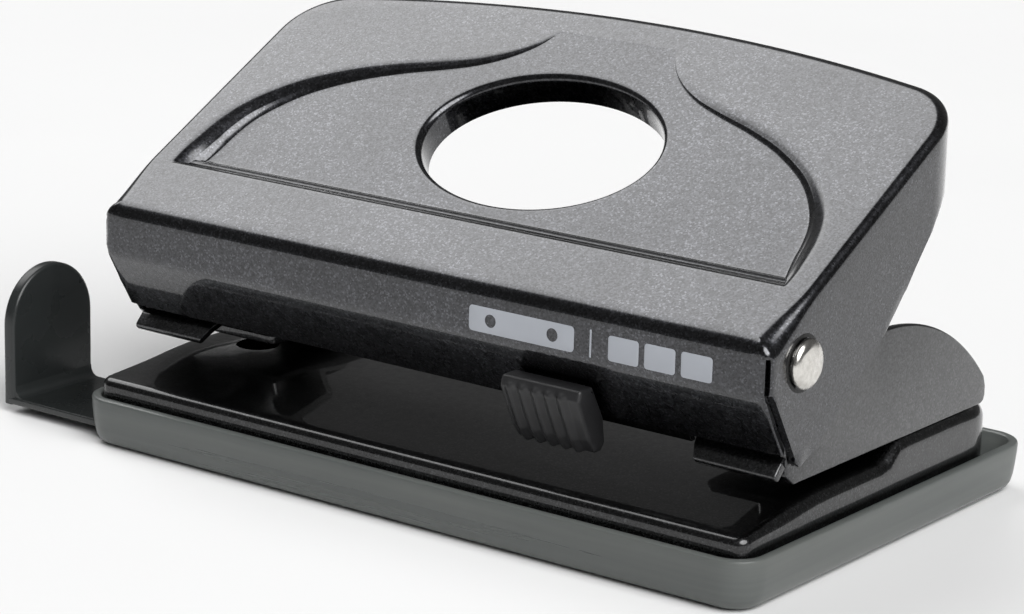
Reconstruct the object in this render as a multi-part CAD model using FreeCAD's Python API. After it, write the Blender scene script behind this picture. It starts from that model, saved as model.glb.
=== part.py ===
"""Two-hole office punch: stamped handle, sprung pins, steel base, chip tray and paper guide.

Frame: millimetres, +Z up, X along the long side, origin at the centre of the tray's underside.
The operator stands at -Y.  Depths are measured back from the handle's front face.
"""
import FreeCAD, Part
import math
import os

Vec = FreeCAD.Vector

# ---- overall layout -------------------------------------------------------------------------
FRONT_Y = -28.3            # y of the handle's front face
SHEET = 1.0                # handle sheet
PLATE = 1.2                # base and bracket sheet
RUNNING = 0.06             # radial running clearance of pins and pivots

# ---- chip tray ------------------------------------------------------------------------------
TRAY_HALF_X = 50.8
TRAY_FRONT = -4.0          # depth of the front and rear walls
TRAY_REAR = 60.6
TRAY_HEIGHT = 6.4
TRAY_WALL = 1.3
TRAY_FLOOR = 0.8
TRAY_CORNER = 4.5
TRAY_DRAFT = 1.3           # how far the underside is drawn in

# ---- base plate -----------------------------------------------------------------------------
BASE_HALF_X = 49.0
BASE_FRONT = -2.0
BASE_REAR = 56.4
BASE_BOTTOM = 1.1
BEAD_Z = 8.5               # front edge of the deck
DECK_Z = 10.2              # deck under the paper slot
STEP_Z = 12.4              # raised rear deck that carries the bracket
RAMP_END = 13.0            # depth where the lead-in ramp meets the deck
STOP = 30.0                # depth of the paper stop
BASE_CORNER_FRONT = 1.6
BASE_CORNER_REAR = 7.0

# ---- handle ---------------------------------------------------------------------------------
HANDLE_HALF_X = 50.0
CREASE_Z = 24.5
FRONT_TOP_Z = 30.5
FLANGE_FOOT = (4.5, 16.85)     # depth and height of the lower edge of the front flange
TOP_SLOPE = 0.5377
HANDLE_REAR = 46.8
REAR_BOW = 5.0                 # how far the rear edge bulges between its corners
HANDLE_CORNER = 9.0
TOP_ROUND = 2.6
RECESS_FRONT = 8.6             # depth of the straight front edge of the pressed panel
RECESS_REAR = 41.0             # depth where the pressed panel runs out
RECESS_DROP = 1.6
RECESS_HALF_X = 46.4
HOLE_DEPTH = 24.0              # finger hole centre, behind the front face
HOLE_SEMI_X = 16.9
HOLE_SEMI_S = 11.5
COLLAR = 2.6

# ---- pivot and bracket ----------------------------------------------------------------------
PIVOT = (7.0, 27.3)
PIVOT_R = 2.45
HEAD_R = 2.95
BOSS_R = 3.8
EAR_OUT = 48.7
EAR_T = 1.0
EAR_ARC = (27.0, -6.1, 32.9)   # depth, height and radius of the cheek's upper outline
WALL_FRONT = 7.6
WALL_TOP = 22.0
WALL_FOOT = 16.6
LIP_INNER = 36.0
WEB_FRONT = 13.4
WEB_REAR = 50.0
WEB_INNER = 33.0
HEEL = 52.3                    # depth of the cheeks' rear corner
RIVET_X = 38.0
RIVET_DEPTHS = (37.0, 45.0)
RIVET_R = 1.6

# ---- pins -----------------------------------------------------------------------------------
PITCH = 80.0
PIN_DEPTH = 18.5
PIN_R = 2.75
PIN_TIP_Z = 12.9
PIN_DOME_Z = 34.2              # centre of the domed head
GUIDE_TOP_Z = 21.0
SEAT_Z = 31.8                  # underside of the spring seat washer
SEAT_T = 0.8
CLIP_T = 0.8
WIRE = 0.7
COIL_R = 3.75
COILS = 5

# ---- lock and paper guide -------------------------------------------------------------------
LOCK_X0 = 14.0
LOCK_X1 = 25.4
LOCK_PLATE_X1 = 35.6
LOCK_Z0 = 15.2
LOCK_Z1 = 21.0
LOCK_T = 0.8
LOCK_TRAVEL = 2.5
NECK_X = (16.2, 22.2)
NECK_Z = (18.9, 20.1)
ARM_X0 = -67.4
ARM_X1 = 34.9
ARM_FRONT = -0.45
ARM_REAR = 14.3
ARM_Z0 = 1.1
ARM_Z1 = 2.1
TAB_T = 1.9
TAB_TOP = 18.8

BIG = 200.0


def fy(depth):
    """Y of a point lying this far behind the handle's front face."""
    return FRONT_Y + depth


def top_z(depth):
    """Height of the handle's flat top above a point this far back."""
    return FRONT_TOP_Z + depth * TOP_SLOPE


def closed_wire(points):
    return Part.makePolygon(list(points) + [points[0]])


def side_prism(outline, x0, x1):
    """Extrude a (depth, height) outline along X."""
    wire = closed_wire([Vec(x0, fy(d), z) for d, z in outline])
    return Part.Face(wire).extrude(Vec(x1 - x0, 0, 0))


def wire_prism(wire, direction):
    return Part.Face(wire).extrude(direction)


def block(x0, x1, d0, d1, z0, z1):
    return Part.makeBox(x1 - x0, d1 - d0, z1 - z0, Vec(x0, fy(d0), z0))


def upright(x, depth, z0, z1, radius):
    return Part.makeCylinder(radius, z1 - z0, Vec(x, fy(depth), z0))


def crosswise(x0, x1, depth, z, radius):
    return Part.makeCylinder(radius, x1 - x0, Vec(x0, fy(depth), z), Vec(1, 0, 0))


def mirrored(shape):
    return shape.mirror(Vec(0, 0, 0), Vec(1, 0, 0))


def edges_where(shape, test):
    return [edge for edge in shape.Edges if test(edge)]


def rounded_plan(half_x, front, rear, r_front, r_rear, z0, z1):
    """Upright block with its own corner radius at the front and at the rear."""
    body = block(-half_x, half_x, front, rear, z0, z1)

    def corner(at_depth):
        def test(edge):
            box = edge.BoundBox
            return box.ZLength > 0.9 * (z1 - z0) and abs(box.YMin - fy(at_depth)) < 0.01
        return test

    body = body.makeFillet(r_front, edges_where(body, corner(front)))
    return body.makeFillet(r_rear, edges_where(body, corner(rear)))


# ---- chip tray ------------------------------------------------------------------------------

def tray_plan(inset, corner):
    """Rounded rectangle of the tray as a wire, drawn in by inset."""
    face = rounded_plan(TRAY_HALF_X - inset, TRAY_FRONT + inset, TRAY_REAR - inset,
                        corner, corner, 0.0, 1.0)
    lowest = min(face.Faces, key=lambda f: f.CenterOfMass.z)
    return lowest.OuterWire


def lofted(lower, z_lower, upper, z_upper):
    low = lower.translated(Vec(0, 0, z_lower))
    high = upper.translated(Vec(0, 0, z_upper))
    return Part.makeLoft([low, high], True, True)


def chip_tray():
    underside = tray_plan(TRAY_DRAFT, TRAY_CORNER - 1.0)
    rim = tray_plan(0.0, TRAY_CORNER)
    outer = lofted(underside, 0.0, rim, TRAY_HEIGHT)
    foot = edges_where(outer, lambda e: e.BoundBox.ZMax < 0.01)
    outer = outer.makeFillet(0.9, foot)
    hollow = rounded_plan(TRAY_HALF_X - TRAY_WALL, TRAY_FRONT + TRAY_WALL, TRAY_REAR - TRAY_WALL,
                          1.8, TRAY_CORNER - TRAY_WALL, TRAY_FLOOR, TRAY_HEIGHT + 1.0)
    tray = outer.cut(hollow)
    tray = tray.cut(block(-BIG, -45.0, ARM_FRONT - 0.4, ARM_REAR + 0.4, TRAY_FLOOR, ARM_Z1 + 0.4))
    return tray.fuse(guide_rail()).removeSplitter()


def guide_rail():
    """Overhanging rail on the tray floor that keeps the paper guide's arm down."""
    back = ARM_REAR + 0.35
    outline = [(back, TRAY_FLOOR - 0.1), (back + 0.8, TRAY_FLOOR - 0.1), (back + 0.8, ARM_Z1 + 1.1),
               (back - 1.0, ARM_Z1 + 1.1), (back - 1.0, ARM_Z1 + 0.35), (back, ARM_Z1 + 0.35)]
    return side_prism(outline, -44.0, 30.0)


# ---- base plate -----------------------------------------------------------------------------

def base_solid(inset):
    """The base's outer form, drawn in by inset on every visible side."""
    top = [(BASE_FRONT + inset, BEAD_Z - inset), (BASE_FRONT + 1.0 + inset, BEAD_Z + 0.1 - inset),
           (RAMP_END, DECK_Z - inset), (STOP + inset * 0.6, DECK_Z - inset),
           (STOP + 2.0 + inset * 0.6, STEP_Z - inset), (BASE_REAR - inset, STEP_Z - inset)]
    low = BASE_BOTTOM - inset
    outline = [(BASE_FRONT + inset, low)] + top + [(BASE_REAR - inset, low)]
    body = side_prism(outline, -BASE_HALF_X, BASE_HALF_X)
    plan = rounded_plan(BASE_HALF_X - inset, BASE_FRONT + inset, BASE_REAR - inset,
                        BASE_CORNER_FRONT - 0.5 * inset, BASE_CORNER_REAR - inset,
                        -inset, STEP_Z + 5.0)
    body = body.common(plan)

    def crosswise_edge(edge):
        box = edge.BoundBox
        return box.XLength > 1.6 * (BASE_HALF_X - BASE_CORNER_REAR) and box.ZMax > BEAD_Z - inset - 0.5

    return body.makeFillet(0.75, edges_where(body, crosswise_edge))


def base_plate():
    plate = base_solid(0.0).cut(base_solid(PLATE))
    for side in (-1, 1):
        x = side * PITCH / 2
        plate = plate.cut(upright(x, PIN_DEPTH, 0.0, STEP_Z + 1.0, PIN_R + RUNNING))
        for depth in RIVET_DEPTHS:
            plate = plate.cut(upright(side * RIVET_X, depth, 0.0, STEP_Z + 1.0, RIVET_R))
    arm_way = block(-BIG, -40.0, BASE_FRONT + PLATE, ARM_REAR + 0.5, 0.0, ARM_Z1 + 0.5)
    return plate.cut(arm_way)


def bracket_rivets():
    """Four rivets through the bracket's web and the raised deck."""
    under = STEP_Z - PLATE
    over = STEP_Z + PLATE
    rivets = []
    for side in (-1, 1):
        for depth in RIVET_DEPTHS:
            x = side * RIVET_X
            shank = upright(x, depth, under - 0.9, over + 0.6, RIVET_R)
            head = upright(x, depth, over, over + 0.9, RIVET_R + 1.0)
            rim = edges_where(head, lambda e: e.BoundBox.ZMin > over + 0.8)
            head = head.makeFillet(0.6, rim)
            tail = upright(x, depth, under - 0.9, under, RIVET_R + 0.7)
            rivets.append(shank.fuse([head, tail]).removeSplitter())
    return Part.makeCompound(rivets)


# ---- bracket --------------------------------------------------------------------------------

def ear(side):
    """Cheek beside the handle's side plate: pivot boss at the front, long arc down to the heel."""
    depth, height, radius = EAR_ARC
    disc = crosswise(0.0, EAR_T, depth, height, radius)
    cheek = disc.common(block(0.0, EAR_T, WALL_FRONT, HEEL, STEP_Z, 60.0))
    boss = crosswise(0.0, EAR_T, PIVOT[0], PIVOT[1], BOSS_R)
    neck = side_prism([(6.6, 13.6), (8.4, STEP_Z), (30.0, STEP_Z), (26.0, 26.7), (9.5, 29.7),
                       (3.3, 26.2), (6.4, 17.6)], 0.0, EAR_T)
    plate = cheek.fuse([boss, neck]).removeSplitter()
    plate = plate.cut(crosswise(-1.0, EAR_T + 1.0, PIVOT[0], PIVOT[1], PIVOT_R))
    plate.translate(Vec(EAR_OUT - EAR_T, 0, 0))
    return plate if side > 0 else mirrored(plate)


def lip():
    """Flared foot of the front wall, which leads the paper into the slot."""
    outline = [(WALL_FRONT, WALL_FOOT), (5.7, 15.6), (4.3, 14.0), (5.3, 13.2), (6.5, 14.6),
               (WALL_FRONT + PLATE, 15.9), (WALL_FRONT + PLATE, WALL_FOOT)]
    foot = side_prism(outline, LIP_INNER, EAR_OUT)
    front = fy(0.0)
    corner = [Vec(LIP_INNER, front, 12.0), Vec(LIP_INNER + 2.6, front, 12.0),
              Vec(LIP_INNER, front, WALL_FOOT)]
    return foot.cut(wire_prism(closed_wire(corner), Vec(0, 12.0, 0)))


def web_side():
    """Lower guide plate beside one cheek."""
    return block(WEB_INNER, EAR_OUT - EAR_T, WEB_FRONT, WEB_REAR, STEP_Z, STEP_Z + PLATE)


def punch_bracket():
    """Cheeks, front wall and webs, pressed from one sheet."""
    inside = EAR_OUT - EAR_T
    wall = block(-EAR_OUT, EAR_OUT, WALL_FRONT, WALL_FRONT + PLATE, WALL_FOOT, WALL_TOP)
    rear_web = block(-WEB_INNER, WEB_INNER, 33.5, WEB_REAR, STEP_Z, STEP_Z + PLATE)
    rear_wall = block(-inside, inside, WEB_REAR - PLATE, WEB_REAR, STEP_Z, STEP_Z + 5.5)
    pieces = [ear(1), ear(-1), lip(), mirrored(lip()), web_side(), mirrored(web_side()),
              rear_web, rear_wall]
    bracket = wall.fuse(pieces).removeSplitter()
    below = STEP_Z - 1.0
    above = STEP_Z + 3.0
    for side in (-1, 1):
        pin_hole = upright(side * PITCH / 2, PIN_DEPTH, below, above, PIN_R + RUNNING)
        bracket = bracket.cut(pin_hole)
        for depth in RIVET_DEPTHS:
            bracket = bracket.cut(upright(side * RIVET_X, depth, below, above, RIVET_R))
    return bracket


def pin_guide(side):
    """Upper guide: a bent strap that stands on the web and steadies the pin."""
    x0 = PITCH / 2 - 6.0
    x1 = PITCH / 2 + 6.0
    back = PIN_DEPTH + 6.2
    top = block(x0, x1, PIN_DEPTH - 5.0, back, GUIDE_TOP_Z - PLATE, GUIDE_TOP_Z)
    leg = block(x0, x1, back - PLATE, back, STEP_Z + PLATE, GUIDE_TOP_Z)
    foot = block(x0, x1, back - PLATE, back + 4.5, STEP_Z + PLATE, STEP_Z + 2 * PLATE)
    strap = top.fuse([leg, foot]).removeSplitter()

    def outer_bend(edge):
        box = edge.BoundBox
        return box.XLength > 11.0 and abs(box.YMin - fy(back)) < 0.01 and box.ZMin > GUIDE_TOP_Z - 0.01

    strap = strap.makeFillet(1.0, edges_where(strap, outer_bend))
    strap = strap.cut(upright(PITCH / 2, PIN_DEPTH, GUIDE_TOP_Z - 3, GUIDE_TOP_Z + 3, PIN_R + RUNNING))
    return strap if side > 0 else mirrored(strap)


# ---- handle ---------------------------------------------------------------------------------

def skin_wire(inset):
    """Side view of the pressed skin, open far below, drawn in by inset."""
    foot_d, foot_z = FLANGE_FOOT
    lean = foot_d / (CREASE_Z - foot_z)
    low = -20.0
    outline = [((CREASE_Z - low) * lean, low), (0.0, CREASE_Z), (0.0, FRONT_TOP_Z),
               (HANDLE_REAR, top_z(HANDLE_REAR)), (HANDLE_REAR, low)]
    wire = closed_wire([Vec(-BIG / 2, fy(d), z) for d, z in outline])
    if inset:
        wire = wire.makeOffset2D(-inset, 2, False, False, True)
    return wire


def handle_plan(inset):
    """Plan of the handle with its bowed rear edge and rounded rear corners."""
    half = HANDLE_HALF_X - inset
    rear = fy(HANDLE_REAR - inset)
    side = fy(HANDLE_REAR - REAR_BOW - inset)
    front = fy(-10.0)
    z0 = -10.0
    bow = Part.Arc(Vec(half, side, z0), Vec(0, rear, z0), Vec(-half, side, z0)).toShape()
    right = Part.makeLine(Vec(half, front, z0), Vec(half, side, z0))
    left = Part.makeLine(Vec(-half, side, z0), Vec(-half, front, z0))
    close = Part.makeLine(Vec(-half, front, z0), Vec(half, front, z0))
    body = wire_prism(Part.Wire([right, bow, left, close]), Vec(0, 0, 90.0))

    def rear_corner(edge):
        box = edge.BoundBox
        return box.ZLength > 80 and abs(box.YMin - side) < 0.01

    return body.makeFillet(HANDLE_CORNER - inset, edges_where(body, rear_corner))


def handle_form(inset):
    """Solid under the handle's outer (inset 0) or inner surface, with its top edges rounded."""
    body = wire_prism(skin_wire(inset), Vec(BIG, 0, 0)).common(handle_plan(inset))
    drop = inset * math.hypot(1.0, TOP_SLOPE)

    def on_top(edge):
        for vertex in edge.Vertexes:
            point = vertex.Point
            if abs(point.z - (top_z(point.y - FRONT_Y) - drop)) > 0.02:
                return False
        return True

    return body.makeFillet(TOP_ROUND - 0.8 * inset, edges_where(body, on_top))


def recess_edge(grow):
    """Right-hand edge of the pressed panel, front tip to rear swoop, pushed outwards by grow."""
    edge = [(RECESS_HALF_X, RECESS_FRONT), (46.2, 15.5), (43.6, 21.5), (38.8, 26.4), (32.5, 29.8),
            (26.0, 32.0), (19.5, 33.9), (14.0, 36.2), (10.5, 38.9), (8.6, RECESS_REAR + 1.0)]
    pushed = [(RECESS_HALF_X + grow, RECESS_FRONT - grow)]
    for before, here, after in zip(edge, edge[1:], edge[2:] + edge[-1:]):
        run = math.dist(before, after)
        outward = ((after[1] - before[1]) / run, (before[0] - after[0]) / run)
        pushed.append((here[0] + grow * outward[0], here[1] + grow * outward[1]))
    return pushed


def recess_prism(grow, deeper):
    """Space over the pressed panel: a D in plan above a floor that rises to meet the top."""
    right = [Vec(x, fy(d), 0) for x, d in recess_edge(grow)]
    left = [Vec(-point.x, point.y, 0) for point in reversed(right)]
    curve_r = Part.BSplineCurve()
    curve_r.interpolate(right)
    curve_l = Part.BSplineCurve()
    curve_l.interpolate(left)
    front = Part.makeLine(left[-1], right[0])
    rear = Part.makeLine(right[-1], left[0])
    wire = Part.Wire([front, curve_r.toShape(), rear, curve_l.toShape()])
    prism = wire_prism(wire, Vec(0, 0, 80.0))
    slant = math.hypot(1.0, TOP_SLOPE)
    z_front = top_z(RECESS_FRONT) - (RECESS_DROP + deeper) * slant
    z_rear = top_z(RECESS_REAR) - deeper * slant
    rise = (z_rear - z_front) / (RECESS_REAR - RECESS_FRONT)
    above = [(0.0, z_front - RECESS_FRONT * rise), (60.0, z_front + (60.0 - RECESS_FRONT) * rise),
             (60.0, 90.0), (0.0, 90.0)]
    return prism.common(side_prism(above, -60.0, 60.0))


def oval(semi_x, semi_s, below, above):
    """Oval column square to the handle's top, centred on the finger hole."""
    column = Part.Face(Part.Wire([Part.Ellipse(Vec(0, 0, 0), semi_x, semi_s).toShape()]))
    column = column.extrude(Vec(0, 0, below + above))
    column.translate(Vec(0, 0, -below))
    column.rotate(Vec(0, 0, 0), Vec(1, 0, 0), math.degrees(math.atan(TOP_SLOPE)))
    column.translate(Vec(0, fy(HOLE_DEPTH), top_z(HOLE_DEPTH)))
    return column


def side_trim():
    """Side view of what the handle keeps: the side plates taper to a point under the pivot."""
    foot_d, foot_z = FLANGE_FOOT
    outline = [(-5.0, foot_z), (foot_d + 0.1, foot_z), (5.6, 16.1), (6.6, 15.1), (7.7, 14.9),
               (9.3, 15.8), (26.0, 28.2), (37.0, 40.6), (60.0, 52.8), (60.0, 90.0), (-5.0, 90.0)]
    keep = side_prism(outline, -60.0, 60.0)
    inner = HANDLE_HALF_X - SHEET - 0.1
    return keep.cut(block(-inner, inner, -5.0, 12.0, 0.0, foot_z))


def corner_relief(side):
    """Open seam between the front flange and the side plate."""
    outline = [(-0.5, 29.3), (1.2, 29.3), (1.2, 24.6), (6.4, 15.9), (5.4, 14.0), (-0.5, 24.0)]
    notch = side_prism(outline, HANDLE_HALF_X - 0.9, HANDLE_HALF_X + 1.0)
    return notch if side > 0 else mirrored(notch)


def handle():
    skin = handle_form(0.0).cut(recess_prism(0.0, 0.0))
    cavity = handle_form(SHEET).cut(recess_prism(SHEET, SHEET))
    shell = skin.cut(cavity).common(side_trim())
    collar = oval(HOLE_SEMI_X, HOLE_SEMI_S, COLLAR + SHEET, 0.0).common(skin)
    shell = shell.fuse(collar)
    shell = shell.cut(oval(HOLE_SEMI_X - SHEET, HOLE_SEMI_S - SHEET, 20.0, 20.0))
    for side in (-1, 1):
        shell = shell.cut(corner_relief(side))
    shell = shell.cut(crosswise(-60.0, 60.0, PIVOT[0], PIVOT[1], PIVOT_R + RUNNING))
    slot = block(NECK_X[0] - LOCK_TRAVEL - 0.5, NECK_X[1] + 0.5, -2.0, 12.0,
                 NECK_Z[0] - 0.35, NECK_Z[1] + 0.35)
    return shell.cut(slot).removeSplitter()


def pivot_rivet(side):
    """Headed pivot pin: turned over inside the cheek, domed outside the handle."""
    inner = EAR_OUT - EAR_T
    outer = HANDLE_HALF_X + 0.3
    shank = crosswise(inner - 1.6, outer + 0.3, PIVOT[0], PIVOT[1], PIVOT_R)
    head = crosswise(outer, outer + 1.1, PIVOT[0], PIVOT[1], HEAD_R)
    rim = edges_where(head, lambda e: e.BoundBox.XMin > outer + 1.05)
    head = head.makeFillet(0.7, rim)
    tail = crosswise(inner - 1.6, inner - 0.8, PIVOT[0], PIVOT[1], PIVOT_R + 0.8)
    rivet = shank.fuse([head, tail]).removeSplitter()
    return rivet if side > 0 else mirrored(rivet)


def pivot_washer(side):
    x1 = EAR_OUT - EAR_T
    ring = crosswise(x1 - 0.8, x1, PIVOT[0], PIVOT[1], BOSS_R)
    ring = ring.cut(crosswise(x1 - 2.0, x1 + 1.0, PIVOT[0], PIVOT[1], PIVOT_R))
    return ring if side > 0 else mirrored(ring)


# ---- pins and springs -----------------------------------------------------------------------

def punch_pin(side):
    """Hardened pin: hollow-ground tip below, clip groove and domed head above."""
    x = side * PITCH / 2
    pin = upright(x, PIN_DEPTH, PIN_TIP_Z, PIN_DOME_Z, PIN_R)
    pin = pin.fuse(Part.makeSphere(PIN_R, Vec(x, fy(PIN_DEPTH), PIN_DOME_Z))).removeSplitter()
    notch = Part.makeCylinder(4.2, 12.0, Vec(x - 6.0, fy(PIN_DEPTH), PIN_TIP_Z - 3.6), Vec(1, 0, 0))
    groove_z = SEAT_Z + SEAT_T
    groove = upright(x, PIN_DEPTH, groove_z, groove_z + CLIP_T, PIN_R + 1.0)
    groove = groove.cut(upright(x, PIN_DEPTH, groove_z, groove_z + CLIP_T, PIN_R - 0.5))
    return pin.cut(notch).cut(groove)


def spring_seat(side):
    x = side * PITCH / 2
    ring = upright(x, PIN_DEPTH, SEAT_Z, SEAT_Z + SEAT_T, 4.6)
    return ring.cut(upright(x, PIN_DEPTH, SEAT_Z - 1, SEAT_Z + 2, PIN_R))


def pin_clip(side):
    """Retaining clip, open towards the front."""
    x = side * PITCH / 2
    z0 = SEAT_Z + SEAT_T
    ring = upright(x, PIN_DEPTH, z0, z0 + CLIP_T, 4.2)
    ring = ring.cut(upright(x, PIN_DEPTH, z0 - 1, z0 + 2, PIN_R - 0.5))
    return ring.cut(block(x - 1.7, x + 1.7, PIN_DEPTH - 6.0, PIN_DEPTH, z0 - 1, z0 + 2))


def return_spring(side):
    """Return spring between guide and seat, as a stack of closed coils of its wire."""
    low = GUIDE_TOP_Z + WIRE / 2 + 0.05
    rise = (SEAT_Z - GUIDE_TOP_Z - WIRE - 0.1) / COILS
    coils = []
    for index in range(COILS + 1):
        centre = Vec(side * PITCH / 2, fy(PIN_DEPTH), low + index * rise)
        coils.append(Part.makeTorus(COIL_R, WIRE / 2, centre))
    return Part.makeCompound(coils)


# ---- lock slider ----------------------------------------------------------------------------

def lock_thumb():
    """Ribbed thumb piece that hangs over the front flange, with a neck through the flange's slot."""
    face = [(-1.2, 19.9), (0.2, 20.6), (1.9, 20.5), (4.1, 16.6), (4.4, 13.6), (3.9, 12.9),
            (2.6, 12.9), (1.4, 14.3), (-0.3, 17.6)]
    thumb = side_prism(face, LOCK_X0, LOCK_X1)
    flutes = 5
    pitch = (LOCK_X1 - LOCK_X0) / (flutes + 0.3)
    flute = [(-3.0, 19.0), (-0.1, 19.0), (1.5, 15.4), (2.4, 14.0), (-3.0, 14.0)]
    for index in range(flutes):
        x = LOCK_X0 + (index + 0.55) * pitch
        thumb = thumb.cut(side_prism(flute, x, x + 0.7))
    neck = lock_plate_form()[1]
    return thumb.fuse(neck).removeSplitter()


def lock_plate_form():
    """Steel strip behind the flange that carries the thumb piece on its neck."""
    foot_d, foot_z = FLANGE_FOOT
    lean = foot_d / (CREASE_Z - foot_z)
    square = math.hypot(1.0, lean)
    front = (SHEET + 0.35) * square
    back = front + LOCK_T * square

    def flange_d(z):
        return (CREASE_Z - z) * lean

    outline = [(flange_d(LOCK_Z1) + front, LOCK_Z1), (flange_d(LOCK_Z1) + back, LOCK_Z1),
               (flange_d(LOCK_Z0) + back, LOCK_Z0), (flange_d(LOCK_Z0) + front, LOCK_Z0)]
    strip = side_prism(outline, LOCK_X0 + 1.0, LOCK_PLATE_X1)
    neck = [(1.5, NECK_Z[0]), (flange_d(NECK_Z[0]) + back - 0.2, NECK_Z[0]),
            (flange_d(NECK_Z[1]) + back - 0.2, NECK_Z[1]), (1.5, NECK_Z[1])]
    return strip, side_prism(neck, NECK_X[0], NECK_X[1])


def lock_plate():
    strip, neck = lock_plate_form()
    return strip.cut(neck)


# ---- paper guide ----------------------------------------------------------------------------

def paper_guide():
    arm = block(ARM_X0 + 0.5, ARM_X1, ARM_FRONT, ARM_REAR, ARM_Z0, ARM_Z1)
    half = (ARM_REAR - ARM_FRONT) / 2
    middle = (ARM_REAR + ARM_FRONT) / 2
    tab = block(ARM_X0, ARM_X0 + TAB_T, ARM_FRONT, ARM_REAR, ARM_Z0, TAB_TOP - half)
    crown = crosswise(ARM_X0, ARM_X0 + TAB_T, middle, TAB_TOP - half, half)
    return arm.fuse([tab, crown]).removeSplitter()


def build():
    nodes = {
        "chip_tray": chip_tray(),
        "base_plate": base_plate(),
        "bracket_rivets": bracket_rivets(),
        "punch_bracket": punch_bracket(),
        "handle": handle(),
        "lock_thumb": lock_thumb(),
        "lock_plate": lock_plate(),
        "paper_guide": paper_guide(),
    }
    for name, side in (("left", -1), ("right", 1)):
        nodes["pin_guide_" + name] = pin_guide(side)
        nodes["pivot_rivet_" + name] = pivot_rivet(side)
        nodes["pivot_washer_" + name] = pivot_washer(side)
        nodes["punch_pin_" + name] = punch_pin(side)
        nodes["spring_seat_" + name] = spring_seat(side)
        nodes["pin_clip_" + name] = pin_clip(side)
        nodes["return_spring_" + name] = return_spring(side)
    return nodes


os.makedirs("parts", exist_ok=True)
for node, shape in build().items():
    box = shape.BoundBox
    print("%-22s solids %d valid %s vol %9.2f  x %.1f..%.1f y %.1f..%.1f z %.1f..%.1f" % (
        node, len(shape.Solids), shape.isValid(), shape.Volume,
        box.XMin, box.XMax, box.YMin, box.YMax, box.ZMin, box.ZMax))
    shape.exportStep("parts/%s.step" % node)
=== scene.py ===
"""Looks for the two-hole punch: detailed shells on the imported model, lacquers, plastics and light."""

import math

import bmesh
import bpy
import numpy as np
from mathutils import Matrix, Vector
from mathutils.geometry import delaunay_2d_cdt


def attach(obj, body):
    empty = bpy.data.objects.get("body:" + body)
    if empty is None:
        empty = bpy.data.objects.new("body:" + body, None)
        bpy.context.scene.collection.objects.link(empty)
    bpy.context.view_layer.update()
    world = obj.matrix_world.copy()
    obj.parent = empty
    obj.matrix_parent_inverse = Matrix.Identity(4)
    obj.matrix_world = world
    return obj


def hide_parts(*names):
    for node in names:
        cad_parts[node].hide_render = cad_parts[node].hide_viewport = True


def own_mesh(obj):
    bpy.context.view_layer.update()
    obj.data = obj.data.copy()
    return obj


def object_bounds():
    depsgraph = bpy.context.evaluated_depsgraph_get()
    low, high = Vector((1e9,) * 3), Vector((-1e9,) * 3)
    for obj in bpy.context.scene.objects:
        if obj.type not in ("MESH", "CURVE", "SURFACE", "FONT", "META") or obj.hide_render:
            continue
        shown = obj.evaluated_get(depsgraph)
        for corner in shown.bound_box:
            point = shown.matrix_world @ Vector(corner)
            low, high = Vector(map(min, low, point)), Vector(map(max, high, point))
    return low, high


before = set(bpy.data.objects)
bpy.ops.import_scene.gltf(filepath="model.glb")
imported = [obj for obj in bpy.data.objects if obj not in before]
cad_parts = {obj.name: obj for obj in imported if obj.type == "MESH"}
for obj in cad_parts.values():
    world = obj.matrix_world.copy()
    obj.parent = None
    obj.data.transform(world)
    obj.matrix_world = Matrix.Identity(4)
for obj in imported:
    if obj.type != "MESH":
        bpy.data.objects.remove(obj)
cad_box = [list(corner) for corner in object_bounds()]

MM = 0.001
FRONT_Y = -28.3            # y of the handle's front face, in mm; depths are measured back from it
SLOPE = 0.5377             # rise of the handle's top per mm of depth
FRONT_TOP_Z = 30.5
TOP_NORMAL = np.array([0.0, -SLOPE, 1.0]) / math.hypot(SLOPE, 1.0)
PITCH = 80.0


# ---- curves -----------------------------------------------------------------------------------

def top_z(depth):
    return FRONT_TOP_Z + depth * SLOPE


def place(x, depth, z):
    """Point in the row frame, in mm, from x, depth behind the handle's face, and height."""
    return (x, FRONT_Y + depth, z)


def smooth_step(t):
    t = np.clip(t, 0.0, 1.0)
    return t * t * (3.0 - 2.0 * t)


def lengths(points):
    return np.concatenate([[0.0], np.cumsum(np.hypot(*np.diff(points, axis=0).T))])


def resample(points, fractions):
    """Points at these fractions of the polyline's length."""
    points = np.asarray(points, float)
    run = lengths(points)
    at = np.asarray(fractions) * run[-1]
    return np.stack([np.interp(at, run, points[:, 0]), np.interp(at, run, points[:, 1])], 1)


def catmull(points, steps=12):
    """Smooth curve through the points."""
    p = np.asarray(points, float)
    p = np.vstack([2 * p[0] - p[1], p, 2 * p[-1] - p[-2]])
    out = []
    for i in range(1, len(p) - 2):
        for t in np.linspace(0.0, 1.0, steps, endpoint=False):
            a, b, c, d = p[i - 1:i + 3]
            out.append(0.5 * (2 * b + (c - a) * t + (2 * a - 5 * b + 4 * c - d) * t ** 2
                              + (3 * b - a - 3 * c + d) * t ** 3))
    out.append(p[-2])
    return np.array(out)


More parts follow.
